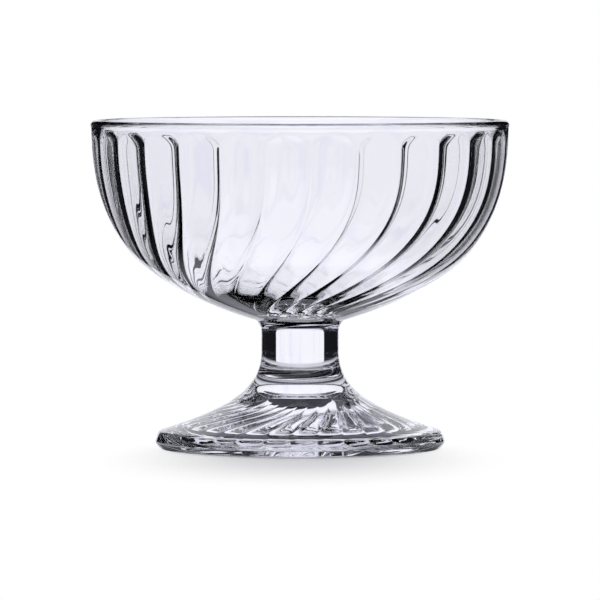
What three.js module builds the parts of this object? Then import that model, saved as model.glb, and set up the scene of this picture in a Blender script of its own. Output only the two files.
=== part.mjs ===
// Sorbet coupe in pressed clear glass: a round bowl with swirled ribs on its inside, a short solid stem
// and a hollow bell foot, joined hot where their flat end faces meet.
// Millimetres, +Z up. The origin is the middle of the ring that the foot stands on.
import * as THREE from "three";

// Bowl: heights are measured from the joint with the stem
const RIM_DIAMETER = 116; // outside, across the bead
const RIM_BEAD = 2.8; // thickness of the round bead
const BEAD_STEP = 0.5; // how far the bead stands proud of the wall outside
const BOWL_HEIGHT = 55.5; // to the top of the rim
const BELLY_DIAMETER = 95.3; // outside, where the side turns under
const BELLY_HEIGHT = 19.5;
const BELLY_SLOPE = 52; // degrees from level
const UNDERSIDE_SLOPE = 15.5; // degrees from level, at the stem
const WALL = 2; // between the ribs
const FLOOR = 4; // glass between the bowl's floor and the stem

// Ribs inside the bowl
const RIB_COUNT = 28;
const RIB_DEPTH = 1.1;
const RIB_TURN = 3.2; // degrees from -Y to the first valley between two ribs
const RIB_GAP = 0.5; // plain wall between the bead and the crown of each arched rib end
const RIB_ARCH = 3; // height of the arch
const RIB_PILLOW = 2.2; // over 2, the crest is flatter and the valley steeper
const RIB_END_RADIUS = 10; // plain round floor that the ribs run out on
const RIB_TAPER = 0.7; // under 1, the ribs keep their depth longer on the way down
const SWIRL_START = 12; // from the top of the rim down to where the ribs begin to lean
const SWIRL_EASE = 30; // height over which they take up the lean
const SWIRL_LEAN = 32; // degrees from upright

// Stem
const STEM_DIAMETER = 21.4;
const STEM_LENGTH = 9.1;
const LIP_DIAMETER = 24; // flared top that meets the bowl
const LIP_HEIGHT = 3.3;
const LIP_SLOPE = 48; // degrees from level, at the top of the flare

// Foot
const FOOT_DIAMETER = 80.4;
const FOOT_HEIGHT = 26.4; // to the joint with the stem
const FOOT_SLOPE = 17.5; // degrees from level, at the outer edge
const EDGE_HEIGHT = 4.9; // to the upper corner of the edge band
const EDGE_DRAFT = 1.1; // how far the band leans in towards its upper corner
const CHAMFER_HEIGHT = 1.9; // under the widest line of the edge
const CHAMFER_WIDTH = 1.4;
const BASE_RING_WIDTH = 3; // flat ring that the foot stands on
const HOLLOW_HEIGHT = 13; // crown of the hollow under the foot
const CROWN_DIAMETER = 15; // flat crown of the hollow
const SHOULDER_DIAMETER = 21; // where the hollow's steep shoulder turns out under the foot
const SHOULDER_HEIGHT = 9.6;
const SHOULDER_SLOPE = 60; // degrees from level
const MOUTH_SLOPE = 35; // degrees from level, where the hollow meets the ring

// Fullness of the curves: length of a handle as a share of the straight distance
const UNDERSIDE_PULL_AT_STEM = 0.3;
const UNDERSIDE_PULL_AT_BELLY = 0.27;
const SIDE_PULL_AT_BELLY = 0.34;
const SIDE_PULL_AT_RIM = 0.38;
const FLOOR_PULL = 0.42;
const FLARE_PULL = 0.35;
const SHOULDER_PULL = 0.4;
const VAULT_PULL_AT_SHOULDER = 0.3;
const VAULT_PULL_AT_RING = 0.5;
const SLOPE_PULL_AT_EDGE = 0.465;
const SLOPE_PULL_AT_STEM = 0.32;

// Facets
const STEPS_PER_RIB = 4;
const DIVISIONS = RIB_COUNT * STEPS_PER_RIB;
const UNDERSIDE_STEPS = 4;
const SIDE_STEPS = 5;
const BEAD_STEPS = 6;
const ARCH_STEPS = 3;
const FLOOR_STEPS = 7;
const FLARE_STEPS = 4;
const SHOULDER_STEPS = 3;
const VAULT_STEPS = 6;
const SLOPE_STEPS = 6;

// Colourless glass with a faint lilac grey
const GLASS_COLOUR = 0xeceaf4;
const GLASS_ROUGHNESS = 0.03;

// Directions in an outline, in degrees from level
const up = 90;
const down = -90;
const inward = -180;

const radians = THREE.MathUtils.degToRad;
const { clamp, smoothstep } = THREE.MathUtils;
const point = (r, z) => new THREE.Vector2(r, z);

// An arrow in the outline's plane, at an angle in degrees from level.
function arrow(angle, length) {
  return point(length * Math.cos(radians(angle)), length * Math.sin(radians(angle)));
}

// A curve that leaves start at one angle and reaches end at another, both in degrees from level.
function bow(start, startAngle, end, endAngle, startPull, endPull) {
  const span = start.distanceTo(end);
  const first = start.clone().add(arrow(startAngle, startPull * span));
  const second = end.clone().sub(arrow(endAngle, endPull * span));
  return new THREE.CubicBezierCurve(start, first, second, end);
}

// The section of one rib across its width: 1 on the crest, where the offset is 0, and 0 at the valley.
const pillow = (offset) => 1 - Math.min(offset, 1) ** RIB_PILLOW;

// Turns of a rib along an outline that it follows at a lean, in radians at each point.
function swirl(outline, leanAt) {
  let turn = 0;
  return outline.map((here, i) => {
    if (i > 0) {
      const before = outline[i - 1];
      const radius = (here.x + before.x) / 2;
      turn += (Math.tan(radians(leanAt(here))) * here.distanceTo(before)) / radius;
    }
    return turn;
  });
}

// Spins an outline about Z. The outline runs from the axis outwards and back to the axis with the glass
// on its left. turns holds each point's own turn, and raise(point, index, offset) tells how far the surface
// stands out there, where offset is 0 on the crest of a rib and 1 at the valley.
function spin(outline, turns, raise) {
  const last = outline.length - 1;
  const positions = [0, 0, outline[0].y];
  for (let i = 1; i < last; i += 1) {
    const along = outline[i + 1].clone().sub(outline[i - 1]).normalize();
    for (let j = 0; j < DIVISIONS; j += 1) {
      const offset = Math.abs(1 - 2 * ((j / STEPS_PER_RIB) % 1));
      const height = raise(outline[i], i, offset);
      const radius = outline[i].x + along.y * height;
      const angle = radians(RIB_TURN + down) + (2 * Math.PI * j) / DIVISIONS + turns[i];
      positions.push(radius * Math.cos(angle), radius * Math.sin(angle), outline[i].y - along.x * height);
    }
  }
  positions.push(0, 0, outline[last].y);
  const ring = (i, j) => 1 + (i - 1) * DIVISIONS + (j % DIVISIONS);
  const top = ring(last, 0);
  const faces = [];
  for (let j = 0; j < DIVISIONS; j += 1) {
    faces.push(0, ring(1, j + 1), ring(1, j));
    for (let i = 1; i < last - 1; i += 1) {
      faces.push(ring(i, j), ring(i, j + 1), ring(i + 1, j + 1));
      faces.push(ring(i, j), ring(i + 1, j + 1), ring(i + 1, j));
    }
    faces.push(ring(last - 1, j), ring(last - 1, j + 1), top);
  }
  const geometry = new THREE.BufferGeometry();
  geometry.setAttribute("position", new THREE.Float32BufferAttribute(positions, 3));
  geometry.setIndex(faces);
  geometry.computeVertexNormals();
  return geometry;
}

// Spins an outline that has no ribs.
function spinPlain(outline) {
  const turns = outline.map(() => 0);
  return spin(outline, turns, () => 0);
}

// Bowl

function bowlGeometry() {
  const rim = RIM_DIAMETER / 2;
  const beadRadius = RIM_BEAD / 2;
  const beadCentre = point(rim - beadRadius, BOWL_HEIGHT - beadRadius);
  const outerTurn = Math.acos(clamp(1 - BEAD_STEP / beadRadius, 0, 1));
  const innerTurn = Math.acos(clamp((BEAD_STEP + WALL) / beadRadius - 1, 0, 1));
  const bead = new THREE.EllipseCurve(
    beadCentre.x, beadCentre.y, beadRadius, beadRadius, -outerTurn, Math.PI + innerTurn);
  const wallTop = bead.getPoint(0);
  const belly = point(BELLY_DIAMETER / 2, BELLY_HEIGHT);
  const joint = point(LIP_DIAMETER / 2, 0);
  const under = bow(
    joint, UNDERSIDE_SLOPE, belly, BELLY_SLOPE, UNDERSIDE_PULL_AT_STEM, UNDERSIDE_PULL_AT_BELLY);
  const side = bow(belly, BELLY_SLOPE, wallTop, up, SIDE_PULL_AT_BELLY, SIDE_PULL_AT_RIM);
  const band = point(wallTop.x - WALL, bead.getPoint(1).y - RIB_GAP);
  const archFoot = point(band.x, band.y - RIB_ARCH);
  const innerBelly = belly.clone().add(arrow(BELLY_SLOPE + up, WALL));
  const turnUnder = BELLY_SLOPE + inward;
  const innerSide = bow(archFoot, down, innerBelly, turnUnder, SIDE_PULL_AT_RIM, SIDE_PULL_AT_BELLY);
  const floor = bow(innerBelly, turnUnder, point(0, FLOOR), inward, SIDE_PULL_AT_BELLY, FLOOR_PULL);
  const outside = [
    point(0, 0),
    ...under.getPoints(UNDERSIDE_STEPS),
    ...side.getPoints(SIDE_STEPS).slice(1),
    ...bead.getPoints(BEAD_STEPS).slice(1),
  ];
  const arch = [];
  for (let step = 0; step < ARCH_STEPS; step += 1) {
    arch.push(band.clone().lerp(archFoot, step / ARCH_STEPS));
  }
  const inside = [...arch, ...innerSide.getPoints(SIDE_STEPS), ...floor.getPoints(FLOOR_STEPS).slice(1)];
  const swirlTop = BOWL_HEIGHT - SWIRL_START;
  const leaning = (here) => -SWIRL_LEAN * smoothstep(swirlTop - here.y, 0, SWIRL_EASE);
  const lean = (here) => (here.x > RIB_END_RADIUS ? leaning(here) : 0);
  const outline = [...outside, ...inside];
  const turns = [...outside.map(() => 0), ...swirl(inside, lean)];
  return spin(outline, turns, (here, i, offset) => {
    if (i < outside.length) return 0;
    const aboveArch = Math.max(here.y - archFoot.y, 0) / RIB_ARCH;
    const taper = Math.max(here.x - RIB_END_RADIUS, 0) / (band.x - RIB_END_RADIUS);
    return RIB_DEPTH * taper ** RIB_TAPER * pillow(Math.hypot(offset, aboveArch));
  });
}

// Stem

function stemGeometry() {
  const radius = STEM_DIAMETER / 2;
  const neck = point(radius, STEM_LENGTH - LIP_HEIGHT);
  const lip = point(LIP_DIAMETER / 2, STEM_LENGTH);
  const flare = bow(neck, up, lip, LIP_SLOPE, FLARE_PULL, FLARE_PULL);
  const outline = [point(0, 0), point(radius, 0), ...flare.getPoints(FLARE_STEPS), point(0, STEM_LENGTH)];
  return spinPlain(outline);
}

// Foot

function footGeometry() {
  const widest = FOOT_DIAMETER / 2;
  const ringOut = point(widest - CHAMFER_WIDTH, 0);
  const ringIn = point(ringOut.x - BASE_RING_WIDTH, 0);
  const edge = point(widest - EDGE_DRAFT, EDGE_HEIGHT);
  const joint = point(STEM_DIAMETER / 2, FOOT_HEIGHT);
  const shoulder = point(SHOULDER_DIAMETER / 2, SHOULDER_HEIGHT);
  const crown = point(CROWN_DIAMETER / 2, HOLLOW_HEIGHT);
  const steep = bow(crown, 0, shoulder, -SHOULDER_SLOPE, SHOULDER_PULL, SHOULDER_PULL);
  const vault = bow(
    shoulder, -SHOULDER_SLOPE, ringIn, -MOUTH_SLOPE, VAULT_PULL_AT_SHOULDER, VAULT_PULL_AT_RING);
  const slope = bow(edge, -FOOT_SLOPE - inward, joint, up, SLOPE_PULL_AT_EDGE, SLOPE_PULL_AT_STEM);
  const hollow = [
    point(0, HOLLOW_HEIGHT),
    ...steep.getPoints(SHOULDER_STEPS),
    ...vault.getPoints(VAULT_STEPS).slice(1),
  ];
  const outside = [
    ringOut,
    point(widest, CHAMFER_HEIGHT),
    ...slope.getPoints(SLOPE_STEPS),
    point(0, FOOT_HEIGHT),
  ];
  return spinPlain([...hollow, ...outside]);
}

// Assembly

function glassPiece(name, geometry, base) {
  const glass = new THREE.MeshStandardMaterial({ color: GLASS_COLOUR, metalness: 0 });
  glass.roughness = GLASS_ROUGHNESS;
  const piece = new THREE.Mesh(geometry, glass);
  piece.name = name;
  piece.position.z = base;
  return piece;
}

const coupe = new THREE.Group();
coupe.add(glassPiece("foot", footGeometry(), 0));
coupe.add(glassPiece("stem", stemGeometry(), FOOT_HEIGHT));
coupe.add(glassPiece("bowl", bowlGeometry(), FOOT_HEIGHT + STEM_LENGTH));

export default coupe;
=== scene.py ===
"""Sorbet coupe in pressed clear glass: a bowl with swirled ribs inside, a solid stem and a hollow bell foot.

Metres, +Z up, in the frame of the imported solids. Each piece is an outline that is drawn point by point,
spun about the upright axis, pushed into ribs ring by ring and smoothed.
"""
import math

import bmesh
import bpy
from bpy.props import FloatProperty, FloatVectorProperty, IntProperty, PointerProperty
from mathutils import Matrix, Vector
from mathutils.geometry import interpolate_bezier


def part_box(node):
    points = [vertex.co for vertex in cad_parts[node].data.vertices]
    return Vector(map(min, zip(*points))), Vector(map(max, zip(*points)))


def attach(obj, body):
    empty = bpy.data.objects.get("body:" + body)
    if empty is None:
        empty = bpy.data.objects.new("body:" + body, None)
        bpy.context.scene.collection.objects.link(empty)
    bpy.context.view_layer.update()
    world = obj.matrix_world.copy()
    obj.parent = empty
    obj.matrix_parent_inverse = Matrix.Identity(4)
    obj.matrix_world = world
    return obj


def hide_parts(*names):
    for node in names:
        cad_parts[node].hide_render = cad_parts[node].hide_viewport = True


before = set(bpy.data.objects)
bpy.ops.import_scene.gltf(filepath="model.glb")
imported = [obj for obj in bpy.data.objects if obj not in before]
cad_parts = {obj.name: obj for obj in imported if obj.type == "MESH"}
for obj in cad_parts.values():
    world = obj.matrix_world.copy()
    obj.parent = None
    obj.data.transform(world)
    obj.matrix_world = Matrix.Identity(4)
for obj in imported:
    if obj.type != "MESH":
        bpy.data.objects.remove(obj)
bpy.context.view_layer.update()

bl_info = {
    "name": "Sorbet Coupe",
    "version": (1, 0, 0),
    "blender": (4, 5, 0),
    "location": "3D View > Sidebar > Coupe",
    "description": "Pressed glass coupe with swirled ribs, dressed around its packed solids",
    "category": "Add Mesh",
}

BOWL_LOW, BOWL_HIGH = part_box("bowl")
STEM_LOW, STEM_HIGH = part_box("stem")
FOOT_LOW, FOOT_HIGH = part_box("foot")

UPRIGHT = math.pi / 2
FRONT = -math.pi / 2  # bearing of the side that faces the camera
WHITE = (1.0, 1.0, 1.0, 1.0)

# How far each curve keeps to its directions at its two ends, as shares of the distance between them
UNDERSIDE_PULLS = (0.3, 0.27)
SIDE_PULLS = (0.34, 0.38)
INNER_SIDE_PULLS = (0.38, 0.34)
FLOOR_PULLS = (0.34, 0.42)
FLARE_PULLS = (0.35, 0.35)
SHOULDER_PULLS = (0.4, 0.4)
VAULT_PULLS = (0.3, 0.5)
SLOPE_PULLS = (0.465, 0.32)

# Steps along the curves of the outlines
UNDERSIDE_STEPS = 7
SIDE_STEPS = 8
BEAD_STEPS = 12
ARCH_STEPS = 5
INNER_SIDE_STEPS = 9
FLOOR_STEPS = 14
SHAFT_STEPS = 4
FLARE_STEPS = 6
SHOULDER_STEPS = 5
VAULT_STEPS = 12
SLOPE_STEPS = 12

# Steps round the upright axis
STEPS_PER_RIB = 14
STEM_STEPS = 96
DISC_STEPS = 96

# Section of the ribs and smoothing
RIB_PILLOW = 3.2  # over 2, the crest is flatter and the valley steeper
RIB_TAPER = 1.3  # over 1, the ribs lose their depth sooner on the way down
VALLEY_CREASE = 0.9
SMOOTHING_LEVELS = 1
SHARP_ANGLE = math.radians(60)
START_SIZE = 0.01  # plane that is merged into the first point of an outline
MERGE_DISTANCE = 1e-6
JOINT_REACH = 1e-5  # how near to a joint's height a face counts as lying in it
LEVEL = 0.999  # upright share of a level face's normal
JOINT_SLOT = 1  # material slot of the faces inside the glass

# Grain of the noise, and the sockets of a Mix node that is set to colours
WAVE_DETAIL = 2.0
SCUFF_DETAIL = 3.0
BAND_DETAIL = 1.0
BAND_START, BAND_FULL = 0.45, 0.75  # noise at which a lilac band begins and is full
MIX_FIRST, MIX_SECOND, MIX_RESULT = 6, 7, 2

# The floor and the paper lie just under the foot, clear of each other
FLOOR_DEPTH = 0.0002
PAPER_DEPTH = 0.0003


def length(label, note, default):
    """A size in metres that the sidebar shows as a length."""
    return FloatProperty(name=label, description=note, default=default, unit="LENGTH", precision=5)


def angle(label, note, degrees):
    """An angle, given in degrees and kept in radians."""
    return FloatProperty(name=label, description=note, default=math.radians(degrees), subtype="ANGLE")


def share(label, note, default):
    """A share from 0 to 1."""
    return FloatProperty(name=label, description=note, default=default, min=0, max=1, subtype="FACTOR")


def amount(label, note, default):
    """A plain number."""
    return FloatProperty(name=label, description=note, default=default)


def colour(label, note, default):
    """A linear colour."""
    return FloatVectorProperty(name=label, description=note, default=default, subtype="COLOR", min=0, max=1)


def light_colour(label, note, default):
    """The linear colour of a light, which may go past white."""
    return FloatVectorProperty(name=label, description=note, default=default, subtype="COLOR", min=0)


class CoupeBowlSizes(bpy.types.PropertyGroup):
    """Sizes of the bowl; heights run up from its joint with the stem, depths down from the rim."""

    rim_diameter: length("Rim Diameter", "Outside, across the bead", BOWL_HIGH.x - BOWL_LOW.x)
    height: length("Height", "From the joint to the top of the rim", BOWL_HIGH.z - BOWL_LOW.z)
    joint_height: length("Joint Height", "From the standing ring to the joint with the stem", BOWL_LOW.z)
    rim_bead: length("Rim Bead", "Thickness of the rounded bead", 0.0028)
    bead_step: length("Bead Step", "How far the bead stands proud of the wall", 0.0002)
    belly_diameter: length("Belly Diameter", "Outside, where the side turns under", 0.0953)
    belly_height: length("Belly Height", "From the joint to where the side turns under", 0.0195)
    belly_slope: angle("Belly Slope", "From level", 52)
    underside_slope: angle("Underside Slope", "From level, at the stem", 15.5)
    wall: length("Wall", "Glass between the ribs, at the belly", 0.002)
    rim_wall: length("Rim Wall", "Glass under the bead, which thins down to the wall", 0.0026)
    floor: length("Floor", "Glass between the bowl's floor and the joint", 0.004)
    rib_count: IntProperty(name="Ribs", description="Ribs round the inside", default=28)
    rib_depth: length("Rib Depth", "From valley to crest", 0.0009)
    rib_turn: angle("Rib Turn", "From the front to the first valley", 3.2)
    rib_top: length("Rib Top", "Down to the crown of each arched rib end", 0.0028)
    rib_arch: length("Rib Arch", "Height of the arch", 0.0045)
    rib_end: length("Rib End", "Radius of the plain floor that the ribs run out on", 0.010)
    swirl_start: length("Swirl Start", "Down to where the ribs begin to lean", 0.012)
    swirl_ease: length("Swirl Ease", "Height over which they take up the lean", 0.030)
    swirl_lean: angle("Swirl Lean", "From upright", 32)


class CoupeStemSizes(bpy.types.PropertyGroup):
    """Sizes of the stem."""

    bottom: length("Bottom", "Height of the joint with the foot", STEM_LOW.z)
    top: length("Top", "Height of the joint with the bowl", STEM_HIGH.z)
    diameter: length("Diameter", "At the foot", 0.0214)
    lip_diameter: length("Lip Diameter", "Flared top that meets the bowl", STEM_HIGH.x - STEM_LOW.x)
    lip_height: length("Lip Height", "Height of the flare", 0.0033)
    lip_slope: angle("Lip Slope", "From level, at the top of the flare", 48)


class CoupeFootSizes(bpy.types.PropertyGroup):
    """Sizes of the foot."""

    diameter: length("Diameter", "At the widest line of the edge", FOOT_HIGH.x - FOOT_LOW.x)
    height: length("Height", "To the joint with the stem", FOOT_HIGH.z - FOOT_LOW.z)
    slope: angle("Slope", "From level, at the outer edge", 17.5)
    edge_height: length("Edge Height", "To the upper corner of the edge band", 0.0049)
    edge_draft: length("Edge Draft", "How far the band leans in", 0.0011)
    chamfer_height: length("Chamfer Height", "Under the widest line of the edge", 0.0019)
    chamfer_width: length("Chamfer Width", "Under the widest line of the edge", 0.0014)
    ring_width: length("Ring Width", "Flat ring that the foot stands on", 0.003)
    hollow_height: length("Hollow Height", "Crown of the hollow underneath", 0.013)
    crown_diameter: length("Crown Diameter", "Flat crown of the hollow", 0.015)
    shoulder_diameter: length("Shoulder Diameter", "Where the steep shoulder turns out", 0.021)
    shoulder_height: length("Shoulder Height", "Height of that turn", 0.0096)
    shoulder_slope: angle("Shoulder Slope", "From level, at that turn", 60)
    mouth_slope: angle("Mouth Slope", "From level, where the hollow meets the ring", 35)
    corner: length("Corner", "Rounding of the corners of the edge", 0.0003)
    rib_depth: length("Rib Depth", "Ribs under the foot, valley to crest", 0.0007)
    rib_rise: length("Rib Rise", "Distance from the shoulder over which the ribs rise", 0.008)
    rib_fade: length("Rib Fade", "Distance before the ring over which they fade", 0.014)
    rib_lean: angle("Rib Lean", "From straight out", 24)


class CoupeGlassLook(bpy.types.PropertyGroup):
    """Finish of the pressed glass."""

    tint: colour("Tint", "Colour left in the light after one wall", (0.995, 0.995, 1.0))
    refraction: amount("Refraction", "Index of refraction", 1.52)
    wave_scale: amount("Wave Scale", "Scale of the unevenness of the pressed surface", 60.0)
    wave_depth: length("Wave Depth", "Depth of that unevenness", 0.0004)
    wave_strength: share("Wave Strength", "How much of it shows", 0.15)
    ground_height: length("Ground Height", "The glass below this height is ground", 0.0002)
    ground_roughness: share("Ground Roughness", "Least roughness of the ground ring", 0.25)
    scuff_roughness: share("Scuff Roughness", "Most that the scuffs add to it", 0.2)
    scuff_scale: amount("Scuff Scale", "Scale of the scuffs", 900.0)


class CoupeStageLook(bpy.types.PropertyGroup):
    """Camera, backdrop, floor and light."""

    camera_distance: length("Camera Distance", "From the camera to the upright axis", 1.85)
    camera_height: length("Camera Height", "Above the standing ring", 0.125)
    aim_height: length("Aim Height", "Height on the axis at the middle of the picture", 0.0411)
    view_width: length("View Width", "Width that the picture takes in at the axis", 0.1662)
    backdrop_distance: length("Backdrop Distance", "Behind the upright axis", 0.18)
    backdrop_reach: angle("Backdrop Reach", "To each side, seen from the coupe", 26.4)
    backdrop_rise: angle("Backdrop Rise", "Upwards, seen from the coupe", 30)
    backdrop_drop: angle("Backdrop Drop", "Downwards, seen from the coupe", 24)
    backdrop_light: light_colour("Backdrop Light", "Light of the backdrop", (1.0, 1.0, 1.07))
    band_light: light_colour("Band Light", "Light of its lilac bands", (0.92, 0.92, 1.05))
    band_scale: FloatVectorProperty(
        name="Band Scale", description="Bands across and along the backdrop", default=(5.0, 0.4, 1.0))
    # Inside Paper Start the paper is clear, so the glass sees the dark room there: painted shade under the
    # foot.
    foot_shade_radius: length("Paper Start", "Radius at which the lit paper begins", 0.036)
    paper_full: length("Paper Full", "Radius at which it is fully lit", 0.046)
    paper_fade: length("Paper Fade", "Radius at which it begins to fade", 0.054)
    paper_end: length("Paper End", "Radius at which it ends", 0.09)
    paper_light: colour("Paper Light", "Light of the paper", (0.72, 0.73, 0.82))
    ceiling_height: length("Ceiling Height", "Of the soft light over the coupe", 1.2)
    ceiling_width: length("Ceiling Width", "From side to side", 1.5)
    ceiling_length: length("Ceiling Length", "From front to back", 7.0)
    ceiling_light: colour("Ceiling Light", "Light of the ceiling", (0.74, 0.74, 0.9))
    floor_radius: length("Floor Radius", "Of the white floor", 8.0)
    shadow_width: length("Shadow Width", "Soft shadow from side to side", 0.116)
    shadow_length: length("Shadow Length", "Soft shadow from front to back", 0.22)
    shadow_reach: length("Shadow Reach", "In front of the upright axis", 0.155)
    shadow_core: share("Shadow Core", "Share of its reach at which the shadow is full", 0.1)
    shadow_tone: colour("Shadow Tone", "Floor where the shadow lies", (0.78, 0.78, 0.79))
    surround: colour("Surround", "Unlit room beyond the backdrop", (0.008, 0.008, 0.011))


def bow(start, start_angle, end, end_angle, pulls, steps):
    """Points from start to end on a curve that leaves and arrives at the given angles from level."""
    span = (end - start).length
    first = start + span * pulls[0] * Vector((math.cos(start_angle), math.sin(start_angle)))
    second = end - span * pulls[1] * Vector((math.cos(end_angle), math.sin(end_angle)))
    return [point.to_2d() for point in interpolate_bezier(start, first, second, end, steps + 1)]


def eased(before, corner, after, radius):
    """Two points that take a sharp corner's place, so that it comes out slightly rounded."""
    return [corner + radius * (side - corner).normalized() for side in (before, after)]


def smoothstep(value):
    """0 to 1 with a soft start and end."""
    held = min(max(value, 0.0), 1.0)
    return held * held * (3 - 2 * held)


def pillow(offset):
    """Section of one rib across its width: 1 on the crest, 0 at the valleys."""
    return 1 - min(offset, 1.0) ** RIB_PILLOW


def swirl(outline, lean_at):
    """Turn of a rib at each point of an outline that it follows at a lean."""
    turns = [0.0]
    for before, here in zip(outline, outline[1:]):
        radius = (before.x + here.x) / 2
        turns.append(turns[-1] + math.tan(lean_at(here)) * (here - before).length / radius)
    return turns


class SpunPiece:
    """A piece spun from an outline of (radius, height) points: one slice, shaped and copied round."""

    def __init__(self, name, outline, slices, steps, bearing):
        self.outline = outline
        self.slices = slices
        self.steps = steps
        self.bearing = bearing
        bpy.ops.object.select_all(action="DESELECT")
        bpy.ops.mesh.primitive_plane_add(size=START_SIZE)
        self.obj = bpy.context.object
        self.obj.name = self.obj.data.name = name
        bpy.ops.object.mode_set(mode="EDIT")
        bpy.ops.mesh.select_mode(type="VERT")
        bpy.ops.mesh.select_all(action="SELECT")
        bpy.ops.mesh.merge(type="CENTER")
        sideways, forwards = math.cos(bearing), math.sin(bearing)
        places = [Vector((point.x * sideways, point.x * forwards, point.y)) for point in outline]
        bpy.ops.mesh.select_all(action="SELECT")
        bpy.ops.transform.translate(value=places[0])
        for before, here in zip(places, places[1:]):
            bpy.ops.mesh.extrude_vertices_move(TRANSFORM_OT_translate={"value": here - before})
        bpy.ops.mesh.select_all(action="SELECT")
        bpy.ops.mesh.spin(steps=steps, angle=math.tau / slices, center=(0, 0, 0), axis=(0, 0, 1))
        self.merge()
        self.number_points()

    def merge(self):
        """Closes the seams between points that lie on each other."""
        bpy.ops.mesh.select_all(action="SELECT")
        bpy.ops.mesh.remove_doubles(threshold=MERGE_DISTANCE)
        bpy.ops.mesh.select_all(action="SELECT")
        bpy.ops.mesh.normals_make_consistent(inside=False)

    def copy_round(self):
        """Repeats the shaped slice to a full turn."""
        bpy.ops.mesh.select_all(action="SELECT")
        copies = self.slices - 1
        bpy.ops.mesh.spin(steps=copies, dupli=True, angle=math.tau * copies / self.slices,
                          center=(0, 0, 0), axis=(0, 0, 1))
        self.merge()

    def cage(self):
        """The piece's mesh in edit mode."""
        mesh = bmesh.from_edit_mesh(self.obj.data)
        mesh.verts.ensure_lookup_table()
        return mesh

    def number_points(self):
        """Notes which vertex stands at each outline point and column."""
        self.at = {}
        column_angle = math.tau / self.slices / self.steps
        for vertex in self.cage().verts:
            place = Vector((math.hypot(vertex.co.x, vertex.co.y), vertex.co.z))
            ring = min(range(len(self.outline)), key=lambda i: (self.outline[i] - place).length)
            turned = math.remainder(math.atan2(vertex.co.y, vertex.co.x) - self.bearing, math.tau)
            self.at[(ring, round(turned / column_angle) % (self.slices * self.steps))] = vertex.index

    def select(self, rings, columns=None):
        """Selects the points of some rings, in all columns or in some of them."""
        bpy.ops.mesh.select_all(action="DESELECT")
        mesh = self.cage()
        for (ring, column), number in self.at.items():
            if ring in rings and (columns is None or column % self.steps in columns):
                mesh.verts[number].select = True
        mesh.select_flush_mode()

    def lean_rings(self, rings, turns):
        """Turns each ring about the upright axis, so that the ribs lean."""
        for ring, turn in zip(rings, turns):
            if turn:
                self.select([ring])
                bpy.ops.transform.rotate(value=-turn, orient_axis="Z", center_override=(0, 0, 0))

    def swell(self, ring, height):
        """Moves the selected points of one ring out of the glass along the surface's normal."""
        here = self.outline[ring]
        along = (self.outline[ring + 1] - self.outline[ring - 1]).normalized()
        scale = (here.x + along.y * height) / here.x
        bpy.ops.transform.resize(value=(scale, scale, 1), center_override=(0, 0, 0))
        bpy.ops.transform.translate(value=(0, 0, -along.x * height))

    def push_ribs(self, rings, height_at):
        """Swells the rings into ribs; height_at takes an outline point and the offset from the crest."""
        for step in range(1, self.steps // 2 + 1):
            offset = 1 - 2 * step / self.steps
            ridge = (step, self.steps - step)
            for ring in rings:
                height = height_at(self.outline[ring], offset)
                if height > 0:
                    self.select([ring], ridge)
                    self.swell(ring, height)

    def crease(self, rings, columns=None, sharpness=1.0):
        """Keeps the edges between the named points sharp when the piece is smoothed."""
        self.select(rings, columns)
        bpy.ops.transform.edge_crease(value=sharpness)

    def select_joints(self, heights):
        """Selects the level faces at the given heights, where the piece is fused to its neighbour."""
        bpy.ops.mesh.select_mode(type="FACE")
        bpy.ops.mesh.select_all(action="DESELECT")
        for face in self.cage().faces:
            here = face.calc_center_median().z
            level = abs(face.normal.z) > LEVEL
            face.select = level and any(abs(here - height) < JOINT_REACH for height in heights)

    def finish(self, joint_heights):
        """Smooths the piece, gives it its glass and leaves edit mode."""
        if self.slices > 1:
            self.copy_round()
        bpy.ops.object.mode_set(mode="OBJECT")
        bpy.ops.object.modifier_add(type="SUBSURF")
        smoothing = self.obj.modifiers[-1]
        smoothing.levels = smoothing.render_levels = SMOOTHING_LEVELS
        smoothing.use_limit_surface = False
        bpy.ops.object.modifier_apply(modifier=smoothing.name)
        self.obj.data.materials.append(material("clear_glass", pressed_glass))
        self.obj.data.materials.append(material("fused_joint", fused_joint))
        bpy.ops.object.shade_smooth_by_angle(angle=SHARP_ANGLE)
        bpy.ops.object.mode_set(mode="EDIT")
        self.select_joints(joint_heights)
        bpy.ops.mesh.region_to_loop()
        bpy.ops.mesh.mark_sharp()
        self.select_joints(joint_heights)
        self.obj.active_material_index = JOINT_SLOT
        bpy.ops.object.material_slot_assign()
        bpy.ops.object.mode_set(mode="OBJECT")
        return self.obj


class Value:
    """An output socket that takes part in Python arithmetic; each operation adds a Math node."""

    def __init__(self, sheet, socket):
        self.sheet = sheet
        self.socket = socket

    def maths(self, operation, other):
        """A Math node on this socket and a number or another socket."""
        return self.sheet.node("ShaderNodeMath", {"operation": operation}, {0: self, 1: other})

    def __add__(self, other):
        return self.maths("ADD", other)

    def __mul__(self, other):
        return self.maths("MULTIPLY", other)

    def __lt__(self, other):
        return self.maths("LESS_THAN", other)

    def __gt__(self, other):
        return self.maths("GREATER_THAN", other)

    __radd__ = __add__
    __rmul__ = __mul__


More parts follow.
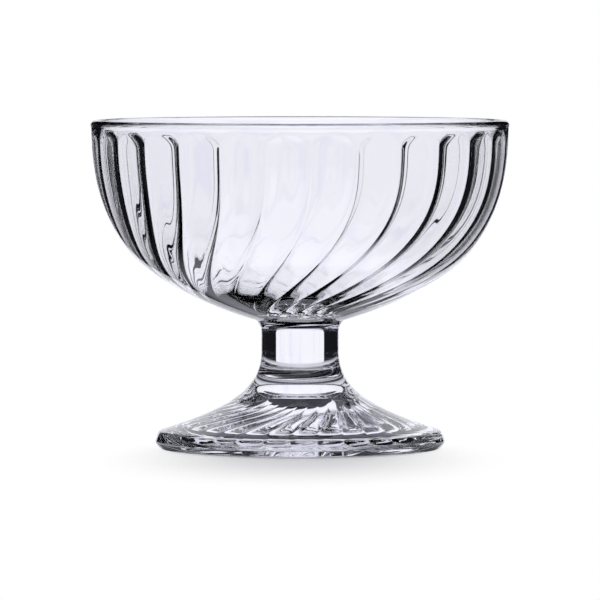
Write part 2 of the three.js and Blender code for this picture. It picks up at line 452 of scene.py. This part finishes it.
class NodeSheet:
    """The node tree of one material or world."""

    def __init__(self, tree):
        self.tree = tree
        tree.nodes.clear()

    def node(self, kind, settings=None, inputs=None, output=0):
        """Adds a node, sets it up, fills its sockets with values or links and returns one of its outputs."""
        node = self.tree.nodes.new(kind)
        for name, value in (settings or {}).items():
            setattr(node, name, value)
        for name, value in (inputs or {}).items():
            if isinstance(value, Value):
                self.tree.links.new(value.socket, node.inputs[name])
            else:
                node.inputs[name].default_value = value
        return Value(self, node.outputs[output]) if node.outputs else None

    def ramp(self, value, start, end):
        """0 at start to 1 at end, with a soft start and end."""
        return self.node("ShaderNodeMapRange", {"interpolation_type": "SMOOTHSTEP"}, {
            "Value": value, "From Min": start, "From Max": end})

    def glow(self, tone):
        """A surface that gives light of one tone."""
        return self.node("ShaderNodeEmission", inputs={"Color": tone, "Strength": 1.0})

    def cover(self, surface):
        """Ends the tree of a material with its surface."""
        self.node("ShaderNodeOutputMaterial", inputs={"Surface": surface})


def material(name, make):
    """The material of that name, made the first time it is asked for."""
    found = bpy.data.materials.get(name + "_look")
    if found is None:
        found = bpy.data.materials.new(name + "_look")
        found.use_nodes = True
        make(NodeSheet(found.node_tree))
    return found


def pressed_glass(sheet):
    """Clear glass with the faint unevenness of a pressed surface and a ground ring where it stands."""
    look = bpy.context.scene.coupe_glass
    place = sheet.node("ShaderNodeTexCoord", output="Object")
    height = sheet.node("ShaderNodeSeparateXYZ", inputs={0: place}, output="Z")
    ground = height < look.ground_height
    waves = sheet.node("ShaderNodeTexNoise", inputs={
        "Vector": place, "Scale": look.wave_scale, "Detail": WAVE_DETAIL})
    scuffs = sheet.node("ShaderNodeTexNoise", inputs={
        "Vector": place, "Scale": look.scuff_scale, "Detail": SCUFF_DETAIL})
    roughness = ground * (look.ground_roughness + scuffs * look.scuff_roughness)
    bump = sheet.node("ShaderNodeBump", inputs={
        "Height": waves, "Strength": look.wave_strength, "Distance": look.wave_depth})
    glass = sheet.node("ShaderNodeBsdfPrincipled", inputs={
        "Base Color": (*look.tint, 1.0),
        "Roughness": roughness,
        "IOR": look.refraction,
        "Transmission Weight": 1.0,
        "Normal": bump,
    })
    sheet.cover(glass)


def fused_joint(sheet):
    """Faces inside the glass where two pieces were joined hot: light goes straight through."""
    sheet.cover(sheet.node("ShaderNodeBsdfTransparent", inputs={"Color": WHITE}))


def settle(obj, node):
    """The piece stands for its solid, which it hides, and moves with the coupe."""
    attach(obj, "root")
    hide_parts(node)


class COUPE_OT_bowl(bpy.types.Operator):
    """Model the bowl with its swirled ribs"""

    bl_idname = "coupe.bowl"
    bl_label = "Bowl"

    def execute(self, context):
        size = context.scene.coupe_bowl
        base = size.joint_height
        top = base + size.height
        rim = size.rim_diameter / 2
        bead_radius = size.rim_bead / 2
        joint = Vector((context.scene.coupe_stem.lip_diameter / 2, base))
        belly = Vector((size.belly_diameter / 2, base + size.belly_height))
        bead_centre = Vector((rim - bead_radius, top - bead_radius))
        outer_turn = math.acos(1 - size.bead_step / bead_radius)
        inner_turn = math.acos(min((size.bead_step + size.rim_wall) / bead_radius - 1, 1.0))
        wall_top = Vector((rim - size.bead_step, bead_centre.y - bead_radius * math.sin(outer_turn)))
        band = Vector((wall_top.x - size.rim_wall, top - size.rib_top))
        arch_foot = Vector((band.x, band.y - size.rib_arch))
        inward = Vector((-math.sin(size.belly_slope), math.cos(size.belly_slope)))
        inner_belly = belly + size.wall * inward
        inner_slope = size.belly_slope - math.pi
        middle = Vector((0, base + size.floor))
        under = bow(joint, size.underside_slope, belly, size.belly_slope, UNDERSIDE_PULLS, UNDERSIDE_STEPS)
        side = bow(belly, size.belly_slope, wall_top, UPRIGHT, SIDE_PULLS, SIDE_STEPS)
        bead = []
        for step in range(1, BEAD_STEPS + 1):
            bearing = -outer_turn + (math.pi + outer_turn + inner_turn) * step / BEAD_STEPS
            bead.append(bead_centre + bead_radius * Vector((math.cos(bearing), math.sin(bearing))))
        arch = [band.lerp(arch_foot, step / ARCH_STEPS) for step in range(1, ARCH_STEPS)]
        inner_side = bow(arch_foot, -UPRIGHT, inner_belly, inner_slope, INNER_SIDE_PULLS, INNER_SIDE_STEPS)
        floor = bow(inner_belly, inner_slope, middle, -math.pi, FLOOR_PULLS, FLOOR_STEPS)
        outside = [Vector((0, base)), *under, *side[1:], *bead]
        inside = [band, *arch, *inner_side, *floor[1:]]

        def lean(here):
            taken_up = smoothstep((top - size.swirl_start - here.y) / size.swirl_ease)
            return -size.swirl_lean * taken_up if here.x > size.rib_end else 0.0

        def rib_height(here, offset):
            above = max(here.y - arch_foot.y, 0) / size.rib_arch
            taper = max(here.x - size.rib_end, 0) / (band.x - size.rib_end)
            return size.rib_depth * taper ** RIB_TAPER * pillow(math.hypot(offset, above))

        outline = outside + inside
        piece = SpunPiece("coupe_bowl", outline, size.rib_count, STEPS_PER_RIB, FRONT + size.rib_turn)
        rings = range(len(outside), len(outline) - 1)
        piece.lean_rings(rings, swirl(inside, lean))
        piece.push_ribs(rings, rib_height)
        piece.crease(rings, (0,), VALLEY_CREASE)
        piece.crease([1])
        settle(piece.finish([base]), "bowl")
        return {"FINISHED"}


class COUPE_OT_stem(bpy.types.Operator):
    """Model the solid stem with its flared top"""

    bl_idname = "coupe.stem"
    bl_label = "Stem"

    def execute(self, context):
        size = context.scene.coupe_stem
        radius = size.diameter / 2
        start = Vector((radius, size.bottom))
        neck = Vector((radius, size.top - size.lip_height))
        lip = Vector((size.lip_diameter / 2, size.top))
        shaft = [start.lerp(neck, step / SHAFT_STEPS) for step in range(SHAFT_STEPS)]
        flare = bow(neck, UPRIGHT, lip, size.lip_slope, FLARE_PULLS, FLARE_STEPS)
        outline = [Vector((0, size.bottom)), *shaft, *flare, Vector((0, size.top))]
        piece = SpunPiece("coupe_stem", outline, 1, STEM_STEPS, 0.0)
        piece.crease([1])
        piece.crease([len(outline) - 2])
        settle(piece.finish([size.bottom, size.top]), "stem")
        return {"FINISHED"}


class COUPE_OT_foot(bpy.types.Operator):
    """Model the hollow bell foot with its ribs underneath"""

    bl_idname = "coupe.foot"
    bl_label = "Foot"

    def execute(self, context):
        size = context.scene.coupe_foot
        ribs = context.scene.coupe_bowl
        widest = size.diameter / 2
        ring_out = Vector((widest - size.chamfer_width, 0))
        ring_in = Vector((ring_out.x - size.ring_width, 0))
        chamfer = Vector((widest, size.chamfer_height))
        edge = Vector((widest - size.edge_draft, size.edge_height))
        joint = Vector((context.scene.coupe_stem.diameter / 2, size.height))
        shoulder = Vector((size.shoulder_diameter / 2, size.shoulder_height))
        crown = Vector((size.crown_diameter / 2, size.hollow_height))
        steep = bow(crown, 0.0, shoulder, -size.shoulder_slope, SHOULDER_PULLS, SHOULDER_STEPS)
        vault = bow(shoulder, -size.shoulder_slope, ring_in, -size.mouth_slope, VAULT_PULLS, VAULT_STEPS)
        slope = bow(edge, math.pi - size.slope, joint, UPRIGHT, SLOPE_PULLS, SLOPE_STEPS)
        corners = [vault[-2], ring_in, ring_out, chamfer, edge, slope[1]]
        edge_band = []
        for before, corner, after in zip(corners, corners[1:], corners[2:]):
            edge_band += eased(before, corner, after, size.corner)
        hollow = [Vector((0, size.hollow_height)), Vector((crown.x / 2, crown.y)), *steep, *vault[1:-1]]
        outline = [*hollow, *edge_band, *slope[1:], Vector((0, size.height))]

        def lean(here):
            return -size.rib_lean if here.x > shoulder.x else 0.0

        def rib_height(here, offset):
            risen = smoothstep((here.x - shoulder.x) / size.rib_rise)
            left = smoothstep((ring_in.x - here.x) / size.rib_fade)
            return size.rib_depth * risen * left * pillow(offset)

        piece = SpunPiece("coupe_foot", outline, ribs.rib_count, STEPS_PER_RIB, FRONT + ribs.rib_turn)
        rings = range(1, len(hollow))
        piece.lean_rings(rings, swirl(hollow, lean)[1:])
        piece.push_ribs(rings, rib_height)
        piece.crease([len(outline) - 2])
        settle(piece.finish([size.height]), "foot")
        return {"FINISHED"}


class COUPE_OT_stage(bpy.types.Operator):
    """Set up the camera, the bright backdrop, the dark room and the white floor"""

    bl_idname = "coupe.stage"
    bl_label = "Stage"

    def execute(self, context):
        look = context.scene.coupe_stage
        camera = self.place_camera(context, look)
        self.hang_backdrop(context, look, camera)
        self.lay_floor(context, look)
        self.lay_paper(context, look)
        self.hang_ceiling(context, look)
        self.light_room(context, look)
        context.scene.view_settings.view_transform = "Standard"
        return {"FINISHED"}

    def place_camera(self, context, look):
        """A camera in front of the coupe and a little above its rim."""
        bpy.ops.object.select_all(action="DESELECT")
        bpy.ops.object.camera_add(location=(0, -look.camera_distance, look.camera_height))
        camera = context.object
        camera.name = "coupe_camera"
        toward = Vector((0, 0, look.aim_height)) - camera.location
        camera.rotation_euler = toward.to_track_quat("-Z", "Y").to_euler()
        camera.data.lens = camera.data.sensor_width * toward.length / look.view_width
        context.scene.camera = camera
        return camera

    def hang_backdrop(self, context, look, camera):
        """A lit sheet close behind the coupe, on a turntable that keeps it square to the camera."""
        behind = look.backdrop_distance
        reach = behind * math.tan(look.backdrop_reach)
        rise = behind * math.tan(look.backdrop_rise)
        drop = behind * math.tan(look.backdrop_drop)
        bpy.ops.object.select_all(action="DESELECT")
        bpy.ops.object.empty_add(location=(0, 0, look.aim_height))
        turntable = context.object
        turntable.name = "backdrop_turntable"
        turntable.constraints.new("COPY_ROTATION").target = camera
        bpy.ops.object.select_all(action="DESELECT")
        bpy.ops.mesh.primitive_plane_add(size=2)  # 1 to each side, so that its scale is its reach
        sheet = context.object
        sheet.scale = (reach, (rise + drop) / 2, 1)
        sheet.parent = turntable
        sheet.location = (0, (rise - drop) / 2, -behind)
        dress_sheet(sheet, "backdrop", glowing_backdrop)
        show_in_glass_only(sheet)

    def lay_floor(self, context, look):
        """A wide white floor with the coupe's soft shadow, which the glass doesn't show."""
        floor = add_disc(context, look.floor_radius, FLOOR_DEPTH)
        dress_sheet(floor, "floor", white_floor)
        floor.visible_transmission = False
        floor.visible_glossy = False

    def lay_paper(self, context, look):
        """The lit paper round the foot, with painted shade under the foot, which shows in the glass alone.
        """
        paper = add_disc(context, look.paper_end, PAPER_DEPTH)
        dress_sheet(paper, "paper", lit_paper)
        show_in_glass_only(paper)

    def hang_ceiling(self, context, look):
        """The soft light over the coupe, which shows in the glass alone."""
        bpy.ops.object.select_all(action="DESELECT")
        bpy.ops.mesh.primitive_plane_add(size=1, location=(0, 0, look.ceiling_height))
        ceiling = context.object
        ceiling.scale = (look.ceiling_width, look.ceiling_length, 1)
        dress_sheet(ceiling, "ceiling", lit_ceiling)
        show_in_glass_only(ceiling)

    def light_room(self, context, look):
        """White light on the floor from all round; the glass sees the dark room beyond the backdrop."""
        world = bpy.data.worlds.new("coupe_room")
        world.use_nodes = True
        context.scene.world = world
        sheet = NodeSheet(world.node_tree)
        seen = sheet.node("ShaderNodeLightPath", output="Is Camera Ray")
        bounced = sheet.node("ShaderNodeLightPath", output="Diffuse Depth")
        lit = sheet.node("ShaderNodeMath", {"operation": "ADD", "use_clamp": True}, {0: seen, 1: bounced})
        dark = sheet.node("ShaderNodeBackground", inputs={"Color": (*look.surround, 1.0)})
        bright = sheet.node("ShaderNodeBackground", inputs={"Color": WHITE})
        room = sheet.node("ShaderNodeMixShader", inputs={0: lit, 1: dark, 2: bright})
        sheet.node("ShaderNodeOutputWorld", inputs={"Surface": room})


def add_disc(context, radius, depth):
    """A flat disc that lies a little under the foot."""
    bpy.ops.object.select_all(action="DESELECT")
    bpy.ops.mesh.primitive_circle_add(
        vertices=DISC_STEPS, radius=radius, fill_type="NGON", location=(0, 0, -depth))
    return context.object


def dress_sheet(sheet, name, make):
    """Names a sheet and gives it its material."""
    sheet.name = name
    sheet.data.materials.append(material(name, make))


def show_in_glass_only(sheet):
    """Hides a sheet of the stage from all but the light that goes through the glass or glances off it."""
    sheet.visible_camera = False
    sheet.visible_diffuse = False
    sheet.visible_shadow = False


def glowing_backdrop(sheet):
    """White backdrop with faint upright bands of lilac."""
    look = bpy.context.scene.coupe_stage
    place = sheet.node("ShaderNodeTexCoord", output="Object")
    stretched = sheet.node("ShaderNodeMapping", inputs={"Vector": place, "Scale": look.band_scale})
    bands = sheet.node("ShaderNodeTexNoise", inputs={
        "Vector": stretched, "Scale": 1.0, "Detail": BAND_DETAIL})
    tone = sheet.node("ShaderNodeMix", {"data_type": "RGBA"}, {
        "Factor": sheet.ramp(bands, BAND_START, BAND_FULL),
        MIX_FIRST: (*look.backdrop_light, 1.0),
        MIX_SECOND: (*look.band_light, 1.0),
    }, output=MIX_RESULT)
    sheet.cover(sheet.glow(tone))


def lit_paper(sheet):
    """White paper round the foot, clear under it as painted shade beneath the foot, and fading towards its
    edge.
    """
    look = bpy.context.scene.coupe_stage
    place = sheet.node("ShaderNodeTexCoord", output="Object")
    far = sheet.node("ShaderNodeVectorMath", {"operation": "LENGTH"}, {0: place}, output="Value")
    # painted shade under the foot: the paper is clear near the axis, so the glass sees the dark room there
    outside_foot_shade = sheet.ramp(far, look.foot_shade_radius, look.paper_full)
    outer = sheet.ramp(far, look.paper_end, look.paper_fade)
    clear = sheet.node("ShaderNodeBsdfTransparent", inputs={"Color": WHITE})
    lit = sheet.glow((*look.paper_light, 1.0))
    sheet.cover(sheet.node("ShaderNodeMixShader", inputs={0: outside_foot_shade * outer, 1: clear, 2: lit}))


def lit_ceiling(sheet):
    """Soft light over the coupe."""
    look = bpy.context.scene.coupe_stage
    sheet.cover(sheet.glow((*look.ceiling_light, 1.0)))


def white_floor(sheet):
    """White floor with a soft shadow round the foot and in front of it."""
    look = bpy.context.scene.coupe_stage
    place = sheet.node("ShaderNodeTexCoord", output="Object")
    patch = sheet.node("ShaderNodeMapping", {"vector_type": "TEXTURE"}, {
        "Vector": place,
        "Location": (0.0, look.shadow_length / 2 - look.shadow_reach, 0.0),
        "Scale": (look.shadow_width / 2, look.shadow_length / 2, 1.0),
    })
    far = sheet.node("ShaderNodeVectorMath", {"operation": "LENGTH"}, {0: patch}, output="Value")
    shaded = sheet.ramp(far, 1.0, look.shadow_core)
    white = sheet.glow(WHITE)
    matt = sheet.node("ShaderNodeBsdfDiffuse", inputs={"Color": (*look.shadow_tone, 1.0)})
    sheet.cover(sheet.node("ShaderNodeMixShader", inputs={0: shaded, 1: white, 2: matt}))


class COUPE_PT_sidebar(bpy.types.Panel):
    """Sizes, finish and the buttons that make the coupe"""

    bl_idname = "COUPE_PT_sidebar"
    bl_label = "Sorbet Coupe"
    bl_space_type = "VIEW_3D"
    bl_region_type = "UI"
    bl_category = "Coupe"

    def draw(self, context):
        for group in GROUPS:
            box = self.layout.box()
            if group in OPERATORS:
                box.operator(OPERATORS[group])
            else:
                box.label(text="Glass")
            settings = getattr(context.scene, group)
            for name in settings.__annotations__:
                box.prop(settings, name)


GROUPS = {
    "coupe_bowl": CoupeBowlSizes,
    "coupe_stem": CoupeStemSizes,
    "coupe_foot": CoupeFootSizes,
    "coupe_glass": CoupeGlassLook,
    "coupe_stage": CoupeStageLook,
}
OPERATORS = {
    "coupe_bowl": "coupe.bowl",
    "coupe_stem": "coupe.stem",
    "coupe_foot": "coupe.foot",
    "coupe_stage": "coupe.stage",
}
CLASSES = (*GROUPS.values(), COUPE_OT_bowl, COUPE_OT_stem, COUPE_OT_foot, COUPE_OT_stage, COUPE_PT_sidebar)


def register():
    """Makes the classes known to Blender and gives every scene the coupe's settings."""
    for cls in CLASSES:
        bpy.utils.register_class(cls)
    for name, group in GROUPS.items():
        setattr(bpy.types.Scene, name, PointerProperty(type=group))


def unregister():
    """Takes the settings and the classes away again."""
    for name in GROUPS:
        delattr(bpy.types.Scene, name)
    for cls in reversed(CLASSES):
        bpy.utils.unregister_class(cls)


def main():
    """Makes the coupe and its stage."""
    register()
    bpy.ops.coupe.bowl()
    bpy.ops.coupe.stem()
    bpy.ops.coupe.foot()
    bpy.ops.coupe.stage()


if __name__ == "__main__":
    main()
